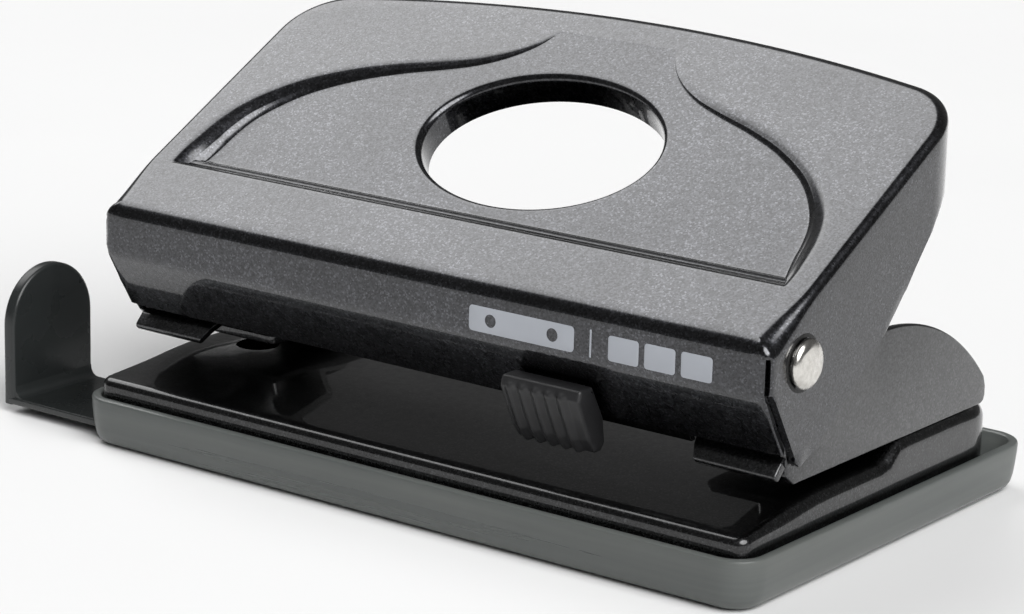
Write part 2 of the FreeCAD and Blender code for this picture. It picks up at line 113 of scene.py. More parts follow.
def rounded_polygon(points, radii, steps=8):
    """Closed outline with every corner replaced by an arc of its own radius."""
    count = len(points)
    out = []
    for i in range(count):
        here = np.array(points[i], float)
        before = np.array(points[i - 1], float) - here
        after = np.array(points[(i + 1) % count], float) - here
        before /= np.linalg.norm(before)
        after /= np.linalg.norm(after)
        half = math.acos(np.clip(before @ after, -1, 1)) / 2
        radius = radii[i] if hasattr(radii, "__len__") else radii
        if radius <= 0:
            out.append(here)
            continue
        bisector = (before + after) / np.linalg.norm(before + after)
        centre = here + bisector * radius / math.sin(half)
        start = here + before * radius / math.tan(half) - centre
        end = here + after * radius / math.tan(half) - centre
        a0 = math.atan2(start[1], start[0])
        turn = (math.atan2(end[1], end[0]) - a0 + math.pi) % (2 * math.pi) - math.pi
        for k in range(steps + 1):
            a = a0 + turn * k / steps
            out.append(centre + radius * np.array([math.cos(a), math.sin(a)]))
    return np.array(out)


def plan_outline(half_x, front, rear, r_front, r_rear):
    """Rounded rectangle in plan, anticlockwise from the front left, with even spacing on its sides."""
    corners = [(-half_x, front), (half_x, front), (half_x, rear), (-half_x, rear)]
    loop = rounded_polygon(corners, [r_front, r_front, r_rear, r_rear], 10)
    return divided(loop, 2.0)


def divided(loop, longest):
    """Closed loop with its long straight runs cut into shorter ones."""
    out = []
    for a, b in zip(loop, np.roll(loop, -1, axis=0)):
        parts = max(1, int(np.ceil(np.linalg.norm(b - a) / longest)))
        out.extend(a + (b - a) * k / parts for k in range(parts))
    return np.array(out)


def loop_normals(loop):
    """Outward normals of an anticlockwise closed loop."""
    ahead = np.roll(loop, -1, axis=0) - loop
    ahead /= np.linalg.norm(ahead, axis=1)[:, None]
    behind = np.roll(ahead, 1, axis=0)
    along = ahead + behind
    along /= np.linalg.norm(along, axis=1)[:, None]
    return np.stack([along[:, 1], -along[:, 0]], 1)


def anticlockwise(loop):
    loop = np.asarray(loop, float)
    x, y = loop.T
    area = np.sum(x * np.roll(y, -1) - y * np.roll(x, -1))
    return loop if area > 0 else loop[::-1]


def circle(cx, cy, radius, count=40):
    a = np.arange(count) * 2 * math.pi / count
    return np.stack([cx + radius * np.cos(a), cy + radius * np.sin(a)], 1)


def inside(points, loop):
    """Which points lie inside the closed loop."""
    points = np.asarray(points, float)
    result = np.zeros(len(points), bool)
    for (x0, y0), (x1, y1) in zip(loop, np.roll(loop, -1, axis=0)):
        crosses = (y0 > points[:, 1]) != (y1 > points[:, 1])
        with np.errstate(divide="ignore", invalid="ignore"):
            at = x0 + (points[:, 1] - y0) * (x1 - x0) / (y1 - y0)
        result ^= crosses & (points[:, 0] < at)
    return result


# ---- meshes -----------------------------------------------------------------------------------

class Surface:
    """Vertices in mm and faces, gathered from grids and caps."""

    def __init__(self):
        self.verts = []
        self.faces = []

    def add(self, points):
        first = len(self.verts)
        self.verts.extend(tuple(float(c) for c in p) for p in points)
        return list(range(first, len(self.verts)))

    def bridge(self, ring_a, ring_b, keep=None):
        count = len(ring_a)
        for i in range(count):
            j = (i + 1) % count
            if keep is None or keep(i):
                self.faces.append((ring_a[i], ring_a[j], ring_b[j], ring_b[i]))

    def cap(self, ring, loop, lift, holes=(), extra=(), flip=False):
        """Fill the loop, whose vertices are ring, with triangles. lift gives 3-D places to new points."""
        flat = [tuple(p) for p in loop]
        edges = [(i, (i + 1) % len(flat)) for i in range(len(flat))]
        index = list(ring)
        for hole_ring, hole in holes:
            first = len(flat)
            flat.extend(tuple(p) for p in hole)
            edges.extend((first + i, first + (i + 1) % len(hole)) for i in range(len(hole)))
            index.extend(hole_ring)
        known = len(flat)
        flat.extend(tuple(p) for p in extra)
        index.extend(self.add([lift(*p) for p in flat[known:]]))
        out, _, tris, _, _, _ = delaunay_2d_cdt([Vector(p) for p in flat], edges, [], 0, 1e-7)
        where = np.array([[v.x, v.y] for v in out])
        source = {}
        for i, p in enumerate(flat):
            source.setdefault((round(p[0], 4), round(p[1], 4)), index[i])
        centres = np.array([where[list(t)].mean(0) for t in tris])
        good = inside(centres, loop)
        for _, hole in holes:
            good &= ~inside(centres, hole)
        for tri, ok in zip(tris, good):
            names = [source.get((round(where[i][0], 4), round(where[i][1], 4))) for i in tri]
            if ok and None not in names and len(set(names)) == 3:
                self.faces.append(tuple(names[::-1] if flip else names))

    def extend(self, other):
        first = len(self.verts)
        self.verts.extend(other.verts)
        self.faces.extend(tuple(first + i for i in face) for face in other.faces)


MERGE = 0.002              # points closer than this become one
TINY_HOLE = 6              # a gap of at most this many edges is filled


def clean_bmesh(surface):
    """Mesh of a Surface with doubled points merged and sliver gaps filled."""
    bm = bmesh.new()
    verts = [bm.verts.new(v) for v in surface.verts]
    for face in surface.faces:
        corners = []
        for i in face:
            if verts[i] not in corners:
                corners.append(verts[i])
        if len(corners) > 2:
            try:
                bm.faces.new(corners)
            except ValueError:
                pass
    bmesh.ops.remove_doubles(bm, verts=bm.verts, dist=MERGE)
    loose = [v for v in bm.verts if not v.link_faces]
    bmesh.ops.delete(bm, geom=loose, context="VERTS")
    bmesh.ops.holes_fill(bm, edges=[e for e in bm.edges if e.is_boundary], sides=TINY_HOLE)
    return bm


LEAST_FACING = 0.6         # keeps the inner corner of a sharp fold from running away


def thicken(surface, thickness, rim=0.0):
    """Close an open sheet, seen from its outer side, into a solid of even thickness."""
    bm = clean_bmesh(surface)
    bm.normal_update()
    outer = list(bm.verts)
    faces = list(bm.faces)
    border = [e for e in bm.edges if len(e.link_faces) == 1]
    inner = {}
    for v in outer:
        facing = min(v.normal.dot(f.normal) for f in v.link_faces)
        inner[v] = bm.verts.new(v.co - v.normal * thickness / max(facing, LEAST_FACING))
    for f in faces:
        bm.faces.new([inner[v] for v in reversed(f.verts)])
    for e in border:
        loop = e.link_loops[0] if e.link_loops[0].face in faces else e.link_loops[1]
        a, b = loop.vert, loop.link_loop_next.vert
        bm.faces.new([b, a, inner[a], inner[b]])
    if rim:
        edges = [e for e in border if e.is_valid]
        bmesh.ops.bevel(bm, geom=edges, offset=rim, segments=2, profile=0.5,
                        affect="EDGES", clamp_overlap=True)
    return bm


def piece(name, shape, body, material, replaces=(), sharp=32.0, outward=False):
    """Blender object from a Surface or bmesh in mm, riding on a body and standing for CAD nodes."""
    bm = clean_bmesh(shape) if isinstance(shape, Surface) else shape
    if outward:
        bmesh.ops.recalc_face_normals(bm, faces=bm.faces)
    bmesh.ops.scale(bm, vec=(MM, MM, MM), verts=bm.verts)
    mesh = bpy.data.meshes.new(name)
    bm.to_mesh(mesh)
    bm.free()
    mesh.polygons.foreach_set("use_smooth", [True] * len(mesh.polygons))
    mesh.set_sharp_from_angle(angle=math.radians(sharp))
    mesh.materials.append(material)
    obj = bpy.data.objects.new(name, mesh)
    bpy.context.scene.collection.objects.link(obj)
    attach(obj, body)
    if replaces:
        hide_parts(*replaces)
    return obj


def prism(loop, w0, w1, lift, edge=0.25, holes=(), steps=3):
    """Plate of a closed 2-D outline between w0 and w1 with rounded rims. lift(u, v, w) gives its place."""
    loop = anticlockwise(loop)
    normal = loop_normals(loop)
    surface = Surface()
    rings = []
    quarter = [k * math.pi / 2 / steps for k in range(steps + 1)]
    levels = [(edge * (1 - math.sin(a)), w0 + edge * (1 - math.cos(a))) for a in quarter]
    levels += [(edge * (1 - math.sin(a)), w1 - edge * (1 - math.cos(a))) for a in reversed(quarter)]
    for inset, w in levels:
        flat = loop - normal * inset
        rings.append(surface.add([lift(u, v, w) for u, v in flat]))
    for a, b in zip(rings, rings[1:]):
        surface.bridge(a, b)
    low_holes, high_holes = [], []
    for hole in holes:
        hole = anticlockwise(hole)
        low = surface.add([lift(u, v, w0) for u, v in hole])
        high = surface.add([lift(u, v, w1) for u, v in hole])
        surface.bridge(high, low)
        low_holes.append((low, hole))
        high_holes.append((high, hole))
    rim = loop - normal * edge
    surface.cap(rings[0], rim, lambda u, v: lift(u, v, w0), low_holes, flip=True)
    surface.cap(rings[-1], rim, lambda u, v: lift(u, v, w1), high_holes)
    return surface


def across(u, v, w):
    """Side view outline (depth, height) carried along X."""
    return place(w, u, v)


def upright(u, v, w):
    """Plan outline (x, depth) carried up."""
    return place(u, v, w)


def mirrored(surface):
    twin = Surface()
    twin.verts = [(-x, y, z) for x, y, z in surface.verts]
    twin.faces = [tuple(reversed(face)) for face in surface.faces]
    return twin


def joined(*surfaces):
    whole = Surface()
    for surface in surfaces:
        whole.extend(surface)
    return whole


def lathe(profile, count, lift):
    """Turned form: profile of (radius, along), closed at the axis where the radius is 0."""
    surface = Surface()
    rings = []
    for radius, along in profile:
        flat = circle(0.0, 0.0, max(radius, 1e-4), count)
        rings.append(surface.add([lift(u, v, along) for u, v in flat]))
    for a, b in zip(rings, rings[1:]):
        surface.bridge(a, b)
    return surface


# ---- materials --------------------------------------------------------------------------------

class Nodes:
    """Short hand for building a material's node tree."""

    def __init__(self, name):
        self.material = bpy.data.materials.new(name)
        self.material.use_nodes = True
        self.tree = self.material.node_tree
        self.tree.nodes.clear()
        self.out = self.tree.nodes.new("ShaderNodeOutputMaterial")
        self.shader = self.tree.nodes.new("ShaderNodeBsdfPrincipled")
        self.link(self.shader.outputs[0], self.out.inputs["Surface"])
        self.place = self.tree.nodes.new("ShaderNodeTexCoord").outputs["Object"]

    def link(self, a, b):
        self.tree.links.new(a, b)

    def set(self, **values):
        for key, value in values.items():
            self.shader.inputs[key.replace("_", " ")].default_value = value

    def stretched(self, scale):
        node = self.tree.nodes.new("ShaderNodeMapping")
        node.inputs["Scale"].default_value = scale
        self.link(self.place, node.inputs["Vector"])
        return node.outputs[0]

    def noise(self, scale, detail=4.0, roughness=0.5, stretch=(1, 1, 1)):
        node = self.tree.nodes.new("ShaderNodeTexNoise")
        node.inputs["Scale"].default_value = scale
        node.inputs["Detail"].default_value = detail
        node.inputs["Roughness"].default_value = roughness
        self.link(self.stretched(stretch), node.inputs["Vector"])
        return node.outputs["Fac"]

    def cells(self, scale):
        node = self.tree.nodes.new("ShaderNodeTexVoronoi")
        node.inputs["Scale"].default_value = scale
        self.link(self.place, node.inputs["Vector"])
        split = self.tree.nodes.new("ShaderNodeSeparateColor")
        self.link(node.outputs["Color"], split.inputs[0])
        return split.outputs[0]

    def spread(self, value, low, high, to_low, to_high):
        node = self.tree.nodes.new("ShaderNodeMapRange")
        for socket, number in zip(node.inputs[1:5], (low, high, to_low, to_high)):
            socket.default_value = number
        self.link(value, node.inputs[0])
        return node.outputs[0]

    def math(self, how, a, b):
        node = self.tree.nodes.new("ShaderNodeMath")
        node.operation = how
        for socket, source in zip(node.inputs, (a, b)):
            if isinstance(source, (int, float)):
                socket.default_value = source
            else:
                self.link(source, socket)
        return node.outputs[0]

    def ramp(self, value, stops):
        node = self.tree.nodes.new("ShaderNodeValToRGB")
        ramp = node.color_ramp
        while len(ramp.elements) < len(stops):
            ramp.elements.new(0.5)
        for element, (at, colour) in zip(ramp.elements, stops):
            element.position = at
            element.color = (*colour, 1.0)
        self.link(value, node.inputs[0])
        return node.outputs[0]

    def bump(self, height, strength, distance, socket="Normal"):
        node = self.tree.nodes.new("ShaderNodeBump")
        node.inputs["Strength"].default_value = strength
        node.inputs["Distance"].default_value = distance
        self.link(height, node.inputs["Height"])
        self.link(node.outputs[0], self.shader.inputs[socket])

    def colour(self, socket):
        self.link(socket, self.shader.inputs["Base Color"])

    def roughness(self, socket):
        self.link(socket, self.shader.inputs["Roughness"])


def grey(value, tint=(1.0, 1.0, 1.0)):
    return tuple(value * t for t in tint)


def flake_lacquer(name, dark, mid, bright, roughness, flake=0.00021, tint=(0.97, 0.985, 1.03)):
    """Black stoving lacquer with fine aluminium flake under a clear coat."""
    n = Nodes(name)
    fleck = n.cells(1.0 / flake)
    cloud = n.noise(55.0, 3.0)
    mixed = n.math("ADD", fleck, n.math("MULTIPLY", n.math("SUBTRACT", cloud, 0.5), 0.5))
    n.colour(n.ramp(mixed, [(0.0, grey(dark, tint)), (0.55, grey(mid, tint)), (0.88, grey(mid * 1.35, tint)),
                            (1.0, grey(bright, tint))]))
    n.roughness(n.spread(n.noise(900.0, 2.0), 0.3, 0.7, roughness - 0.04, roughness + 0.05))
    n.bump(n.noise(420.0, 2.0), 0.05, 0.00005)
    n.bump(n.noise(160.0, 3.0), 0.06, 0.00008, "Coat Normal")
    n.set(Metallic=1.0, Coat_Weight=1.0, Coat_Roughness=0.035, Coat_IOR=1.5)
    return n.material


def smoky_plastic(name):
    """Grey translucent moulding with faint flow streaks along its walls."""
    n = Nodes(name)
    streak = n.noise(30.0, 5.0, 0.6, (0.35, 0.35, 16.0))
    cloud = n.noise(22.0, 3.0, 0.5)
    mixed = n.math("ADD", n.math("MULTIPLY", streak, 0.65), n.math("MULTIPLY", cloud, 0.35))
    n.colour(n.ramp(mixed, [(0.30, (0.125, 0.137, 0.134)), (0.5, (0.165, 0.178, 0.172)),
                            (0.70, (0.215, 0.226, 0.215))]))
    n.roughness(n.spread(streak, 0.3, 0.7, 0.24, 0.38))
    n.bump(n.noise(300.0, 3.0), 0.08, 0.0001)
    n.set(Transmission_Weight=0.45, IOR=1.46)
    return n.material


def moulded_plastic(name, low, high, roughness, grain=1500.0, strength=0.12):
    """Fine grained opaque moulding."""
    n = Nodes(name)
    cloud = n.noise(40.0, 5.0, 0.6)
    n.colour(n.ramp(cloud, [(0.3, low), (0.7, high)]))
    n.roughness(n.spread(n.noise(200.0, 4.0), 0.3, 0.7, roughness - 0.05, roughness + 0.08))
    n.bump(n.noise(grain, 3.0), strength, 0.00006)
    n.set(IOR=1.48)
    return n.material


def bare_metal(name, low, high, roughness, stretch=(1, 1, 1), scale=900.0, strength=0.1):
    """Steel with fine marks."""
    n = Nodes(name)
    mark = n.noise(scale, 4.0, 0.6, stretch)
    n.colour(n.ramp(mark, [(0.3, low), (0.7, high)]))
    n.roughness(n.spread(n.noise(300.0, 3.0), 0.3, 0.7, roughness - 0.05, roughness + 0.1))
    n.bump(mark, strength, 0.00003)
    n.set(Metallic=1.0)
    return n.material


HANDLE_LACQUER = flake_lacquer("handle_lacquer", 0.016, 0.040, 0.100, 0.28, tint=(0.95, 0.97, 1.08))
# The base's copy of the black flake lacquer, also used on the lock strip, is darker than the handle's. The
# darkening is painted shade for the shade under the handle and the dark underside that the deck mirrors.
BASE_LACQUER_PAINTED_SHADE = flake_lacquer("black_lacquer", 0.008, 0.022, 0.06, 0.36)
BRACKET_LACQUER = flake_lacquer("bracket_lacquer", 0.020, 0.045, 0.10, 0.42)
TRAY_PLASTIC = smoky_plastic("tray_plastic")
CHARCOAL = moulded_plastic("charcoal_plastic", (0.010, 0.010, 0.011), (0.017, 0.017, 0.018), 0.42)
GUIDE_PLASTIC = moulded_plastic("guide_plastic", (0.016, 0.018, 0.018), (0.026, 0.029, 0.029), 0.28,
                                grain=700.0, strength=0.06)
RIVET_METAL = bare_metal("polished_rivet", (0.62, 0.60, 0.56), (0.82, 0.80, 0.76), 0.22,
                         scale=1600.0, strength=0.25)
RIVET_STEEL = bare_metal("rivet_steel", (0.35, 0.35, 0.35), (0.5, 0.5, 0.5), 0.35)
ZINC = bare_metal("zinc_steel", (0.42, 0.43, 0.44), (0.60, 0.60, 0.58), 0.36, (1, 1, 1), 500.0, 0.1)
SPRING = bare_metal("spring_wire", (0.30, 0.30, 0.31), (0.48, 0.48, 0.48), 0.25)
PIN_STEEL = bare_metal("pin_steel", (0.45, 0.45, 0.46), (0.62, 0.62, 0.62), 0.18, (1, 1, 14.0), 700.0, 0.06)
PRINT = moulded_plastic("printed_mark", (0.34, 0.36, 0.40), (0.42, 0.44, 0.48), 0.45, 2500.0, 0.05)
# Near-black matt material for the ring round the pivot rivets: painted shadow.
SHADOW_GAP = moulded_plastic("pivot_shadow_ring", (0.004, 0.004, 0.004), (0.007, 0.007, 0.007), 0.5)


# ---- handle -----------------------------------------------------------------------------------

HANDLE_HALF_X = 50.0
SHEET = 1.0
CREASE_Z = 24.5
FLANGE_FOOT = (4.5, 16.85)
TOP_ROUND = 2.6            # rounding of the top edge at the front
SIDE_ROUND = 1.15
REAR_ROUND = 1.8
SIDE_ROUND_START = 1.7     # depth where the front's rounding begins to tighten
SIDE_ROUND_RUN = 8.0
CORNER = 1.2               # vertical corner between the front flange and a side plate
REAR_CORNER = 9.0
BOW_CENTRE = -205.7        # depth of the centre of the rear edge's long arc
BOW_RADIUS = 252.5
RECESS_FRONT = 8.7
RECESS_REAR = 41.0
RECESS_HALF_X = 46.3
RECESS_DROP = 2.3          # depth of the pressed panel at its front edge
STEP_WIDTH = 3.9           # width of the side wall where the panel is deepest
STEP_TAPER = 0.62          # how slowly the wall narrows as the panel runs out
TIP_SHARE = 0.62           # share of that width at the panel's front tips
TIP_RUN = 7.0
HOLE_DEPTH = 24.0
HOLE_SEMI_X = 16.9
HOLE_SEMI_D = 10.15
HOLE_LIP = 0.9
COLLAR = 3.0


def on_top(x, depth, below):
    """Place of a point this far under the handle's top plane, measured square to it."""
    base = np.array(place(x, depth, top_z(depth)))
    return base - TOP_NORMAL * below


def panel_drop(depth):
    """How far the pressed panel lies under the top plane."""
    return RECESS_DROP * np.clip((RECESS_REAR - depth) / (RECESS_REAR - RECESS_FRONT), 0.0, 1.08)


def perimeter_half():
    """Right half of the handle's plan, from the middle of the front to the middle of the rear.

    Returns the points, their outward normals, and the index of the slit and of the swoop's end."""
    points, normals = [], []

    def add(x, d, nx, nd):
        points.append((x, d))
        normals.append((nx, nd))

    inner_x = HANDLE_HALF_X - CORNER
    for x in np.linspace(0.0, inner_x, 58, endpoint=False):
        add(x, 0.0, 0.0, -1.0)
    arc_start = len(points)
    for a in np.linspace(-math.pi / 2, 0.0, 7):
        add(inner_x + CORNER * math.cos(a), CORNER + CORNER * math.sin(a), math.cos(a), math.sin(a))
    arc_x = HANDLE_HALF_X - REAR_CORNER
    arc_d = BOW_CENTRE + math.sqrt((BOW_RADIUS - REAR_CORNER) ** 2 - arc_x ** 2)
    side = np.concatenate([np.arange(CORNER + 0.5, 11.0, 0.5), np.arange(11.0, arc_d - 0.3, 1.0)])
    for d in side:
        add(HANDLE_HALF_X, d, 1.0, 0.0)
    end = math.atan2(arc_d - BOW_CENTRE, arc_x)
    for a in np.linspace(0.0, end, 20):
        add(arc_x + REAR_CORNER * math.cos(a), arc_d + REAR_CORNER * math.sin(a), math.cos(a), math.sin(a))
    swoop_x = 9.4
    last_x = BOW_RADIUS * math.cos(end)
    for x in np.linspace(last_x, swoop_x, 34)[1:]:
        up = math.sqrt(BOW_RADIUS ** 2 - x ** 2)
        add(x, BOW_CENTRE + up, x / BOW_RADIUS, up / BOW_RADIUS)
    swoop = len(points) - 1
    for x in np.linspace(swoop_x, 0.0, 9)[1:]:
        up = math.sqrt(BOW_RADIUS ** 2 - x ** 2)
        add(x, BOW_CENTRE + up, x / BOW_RADIUS, up / BOW_RADIUS)
    return np.array(points), np.array(normals), arc_start, swoop


def round_radius(points, normals):
    """Radius of the rounded top edge: full at the front, tight along the sides, middling at the rear."""
    tight = smooth_step((points[:, 1] - SIDE_ROUND_START) / SIDE_ROUND_RUN)
    side = SIDE_ROUND + (TOP_ROUND - SIDE_ROUND) * (1 - tight)
    rear = np.clip(normals[:, 1], 0.0, 1.0) ** 2
    return side + (REAR_ROUND - SIDE_ROUND) * rear


# Rings of the pressed step: share of the full drop, distance inside the front line, and the same
# as a share of the side wall's width.
STEP_RINGS = [
    (1.0, 3.15, 1.08), (0.99, 2.95, 1.0), (0.94, 2.75, 0.92), (0.76, 2.45, 0.80), (0.62, 2.2, 0.72),
    (0.56, 2.0, 0.68), (0.54, 1.55, 0.66), (0.50, 1.25, 0.62), (0.34, 0.9, 0.48), (0.13, 0.45, 0.28),
    (0.03, 0.15, 0.12), (0.0, -0.15, -0.04), (0.0, -0.45, -0.16)]


def recess_curve():
    """Right-hand edge of the pressed panel from its front tip to the end of the swoop, densely."""
    knots = [(RECESS_HALF_X, RECESS_FRONT), (46.45, 12.0), (46.0, 16.5), (43.9, 21.3), (39.3, 26.0),
             (33.2, 29.5), (27.0, 31.8), (21.6, 33.3), (17.2, 34.7), (13.6, 36.5), (10.8, 38.7),
             (9.2, RECESS_REAR)]
    return catmull(knots, 14)


def step_ring(curve, ahead, share, front_share, side_share, fractions):
    """Right half of one ring of the step: front run, side run and rear run at the given fractions."""
    normal = np.stack([ahead[:, 1], -ahead[:, 0]], 1)
    depth = curve[:, 1]
    width = STEP_WIDTH * np.clip(panel_drop(depth) / RECESS_DROP, 0.04, 1.0) ** STEP_TAPER
    width *= TIP_SHARE + (1 - TIP_SHARE) * smooth_step((depth - RECESS_FRONT) / TIP_RUN)
    side = curve - normal * (width * side_share)[:, None]
    start_d = RECESS_FRONT + front_share
    keep = side[:, 1] > start_d + 0.02
    side = side[keep]
    first = side[0] + (side[0] - side[1]) * (side[0][1] - start_d) / max(side[1][1] - side[0][1], 1e-6)
    side = np.vstack([first, side])
    front_f, side_f, rear_f = fractions
    front = np.stack([first[0] * front_f, np.full(len(front_f), start_d)], 1)
    rear = np.stack([side[-1][0] * (1 - rear_f), np.full(len(rear_f), side[-1][1])], 1)
    half = np.vstack([front, resample(side, side_f)[1:], rear[1:]])
    drop = share * panel_drop(half[:, 1])
    return half, drop


def side_foot(depth):
    """Height of the side plate's and the rear wall's lower edge."""
    edge = catmull([(7.7, 15.05), (9.6, 16.1), (17.0, 21.2), (26.0, 28.2), (31.5, 34.4), (37.0, 40.4)], 8)
    depths = np.concatenate([[0.0, 1.2, 6.8, 7.3], edge[:, 0], [46.8]])
    heights = np.concatenate([[24.7, 24.7, 15.4, 15.0], edge[:, 1], [45.9]])
    return np.interp(depth, depths, heights)


def front_path(rows):
    """Front flange below the rounded top edge, as (depth, height) rows: upright, bend, slant to the foot."""
    foot_d, foot_z = FLANGE_FOOT
    lean = np.array([foot_d, foot_z - CREASE_Z])
    lean /= np.linalg.norm(lean)
    bend = 0.9
    start_z = top_z(TOP_ROUND) - TOP_ROUND / TOP_NORMAL[2]
    path = [(0.0, start_z), (0.0, (start_z + CREASE_Z + bend) / 2), (0.0, CREASE_Z + bend)]
    for t in (0.3, 0.55, 0.8):
        a = np.array([0.0, CREASE_Z + bend])
        b = np.array([0.0, CREASE_Z])
        c = b + lean * bend
        path.append(tuple((1 - t) ** 2 * a + 2 * t * (1 - t) * b + t * t * c))
    path.append(tuple(np.array([0.0, CREASE_Z]) + lean * bend))
    path.append(((path[-1][0] + foot_d) / 2, (path[-1][1] + foot_z) / 2))
    path.append((foot_d, foot_z))
    assert len(path) == rows
    return path


def handle_surface():
    points, normals, arc_start, swoop = perimeter_half()
    slit = arc_start + 3
    run = lengths(points)
    fractions = (run[:slit + 1] / run[slit],
                 (run[slit:swoop + 1] - run[slit]) / (run[swoop] - run[slit]),
                 (run[swoop:] - run[swoop]) / (run[-1] - run[swoop]))
    curve = recess_curve()
    ahead = np.gradient(curve, axis=0)
    ahead /= np.linalg.norm(ahead, axis=1)[:, None]

    surface = Surface()
    rings = []

    def add_ring(half_3d):
        half_3d = np.array(half_3d)
        left = half_3d[1:-1][::-1].copy()
        left[:, 0] *= -1
        rings.append(surface.add(np.vstack([half_3d, left])))

    steps = [step_ring(curve, ahead, *row, fractions) for row in STEP_RINGS]
    inner = steps[0][0]

    # finger hole: collar, lip, and the panel round it
    angle = np.arctan2((inner[:, 1] - HOLE_DEPTH) / HOLE_SEMI_D, inner[:, 0] / HOLE_SEMI_X)

    def oval(grow, below):
        x = (HOLE_SEMI_X + grow) * np.cos(angle)
        d = HOLE_DEPTH + (HOLE_SEMI_D + grow * 0.9) * np.sin(angle)
        return [on_top(px, pd, panel_drop(pd) + below) for px, pd in zip(x, d)]

    for below in (COLLAR + HOLE_LIP, COLLAR / 2 + HOLE_LIP):
        add_ring(oval(0.0, below))
    for a in np.linspace(0.0, math.pi / 2, 7):
        add_ring(oval(HOLE_LIP * (1 - math.cos(a)), HOLE_LIP * (1 - math.sin(a))))
    lip = np.stack([(HOLE_SEMI_X + HOLE_LIP + 0.25) * np.cos(angle),
                    HOLE_DEPTH + (HOLE_SEMI_D + (HOLE_LIP + 0.25) * 0.9) * np.sin(angle)], 1)
    for t in (0.0, 0.2, 0.45, 0.72, 0.93):
        half = lip * (1 - t) + inner * t
        add_ring([on_top(x, d, panel_drop(d)) for x, d in half])

    for half, drop in steps:
        add_ring([on_top(x, d, h) for (x, d), h in zip(half, drop)])

    # land, rounded top edge
    rounding = round_radius(points, normals)
    centre = points - normals * rounding[:, None]
    centre[:, 0] = np.minimum(centre[:, 0], HANDLE_HALF_X - rounding)
    centre[:, 1] = np.maximum(centre[:, 1], TOP_ROUND)
    land = centre + np.outer(rounding, [0.0, TOP_NORMAL[1]])
    outer_step = steps[-1][0]
    for t in (0.12, 0.5, 0.88):
        add_ring([on_top(x, d, 0.0) for x, d in outer_step * (1 - t) + land * t])
    out = points - centre
    reach = np.linalg.norm(out, axis=1)
    for k in range(10):
        t = k / 9
        ring = []
        for (cx, cd), (ox, od), r_end, r_top in zip(centre, out, reach, rounding):
            end = np.array([ox, od, 0.0]) / r_end
            full = math.acos(np.clip(TOP_NORMAL @ end, -1, 1))
            way = (TOP_NORMAL * math.sin((1 - t) * full) + end * math.sin(t * full)) / math.sin(full)
            radius = r_top + (r_end - r_top) * smooth_step(t)
            heart = np.array(place(cx, cd, top_z(cd) - r_top / TOP_NORMAL[2]))
            ring.append(heart + way * radius)
        add_ring(ring)
    fillet_end = len(rings) - 1

    # walls: front flange, side plates and rear wall
    rows = 9
    path = front_path(rows)
    for row in range(1, rows):
        ring = []
        for i, (x, d) in enumerate(points):
            start_z = top_z(centre[i][1]) - rounding[i] / TOP_NORMAL[2]
            if i <= slit:
                ring.append(place(x, d + path[row][0], path[row][1]))
            else:
                t = row / (rows - 1)
                ring.append(place(x, d, start_z + (side_foot(d) - start_z) * t))
        add_ring(ring)

    total = len(rings[0])
    half_count = len(points)

    def whole(i):
        """False for the columns of the open seam at each front corner."""
        right = slit - 1 <= i <= slit
        mirror = total - 1 - i
        left = slit - 1 <= mirror <= slit
        return not (right or left)

    for k, (a, b) in enumerate(zip(rings, rings[1:])):
        surface.bridge(b, a, keep=whole if k >= fillet_end else None)
    assert total == 2 * half_count - 2
    return surface


piece("handle_shell", thicken(handle_surface(), SHEET, 0.22), "handle",
      HANDLE_LACQUER, ["handle"], sharp=40.0)


# ---- base plate -------------------------------------------------------------------------------

BASE_HALF_X = 49.0
BASE_FRONT = -2.0
BASE_REAR = 56.4
BASE_BOTTOM = 1.1
BASE_SHEET = 1.2
DECK_FRONT_Z = 8.4         # height of the deck at its front edge
RAMP_SLOPE = 0.12
RAMP_END = 9.0             # depth where the lead-in starts to level off
LEVEL_RUN = 8.0
JOGGLE_START = 28.8
JOGGLE_RUN = 2.6
JOGGLE_RISE = 2.2
STEP_Z = 12.4              # the bracket's seat
PIN_DEPTH = 18.5
PIN_HOLE = 2.81


def deck_z(depth):
    """Height of the base's top: lead-in ramp, deck under the slot, joggle up to the bracket's seat."""
    level = np.clip(depth - RAMP_END, 0.0, LEVEL_RUN)
    ramp = DECK_FRONT_Z + RAMP_SLOPE * (np.clip(depth, BASE_FRONT, RAMP_END) - BASE_FRONT)
    ramp = ramp + RAMP_SLOPE * level - RAMP_SLOPE / (2 * LEVEL_RUN) * level * level
    return ramp + JOGGLE_RISE * smooth_step((depth - JOGGLE_START) / JOGGLE_RUN)


def shoulder_radius(depth):
    """Rounding of the base's top edge: tight at the front, fuller along the sides, fullest at the rear."""
    return 0.95 + 0.75 * smooth_step((depth + 1.5) / 9.0) + 0.5 * smooth_step((depth - 44.0) / 10.0)


def pin_circles(radius, count):
    return [circle(side * PITCH / 2, PIN_DEPTH, radius, count) for side in (-1, 1)]


def deck_points(outline):
    """Points inside the outline, closest together along the joggle, that let the deck bend."""
    depths = np.concatenate([np.arange(-0.5, 28.0, 1.5), np.arange(28.4, 32.2, 0.33),
                             np.arange(33.0, 56.0, 2.0)])
    grid = np.array([(x, d) for x in np.arange(-46.0, 46.1, 2.0) for d in depths])
    grid = grid[inside(grid, outline)]
    for side in (-1, 1):
        away = np.hypot(grid[:, 0] - side * PITCH / 2, grid[:, 1] - PIN_DEPTH)
        grid = grid[away > PIN_HOLE + 0.5]
    return grid


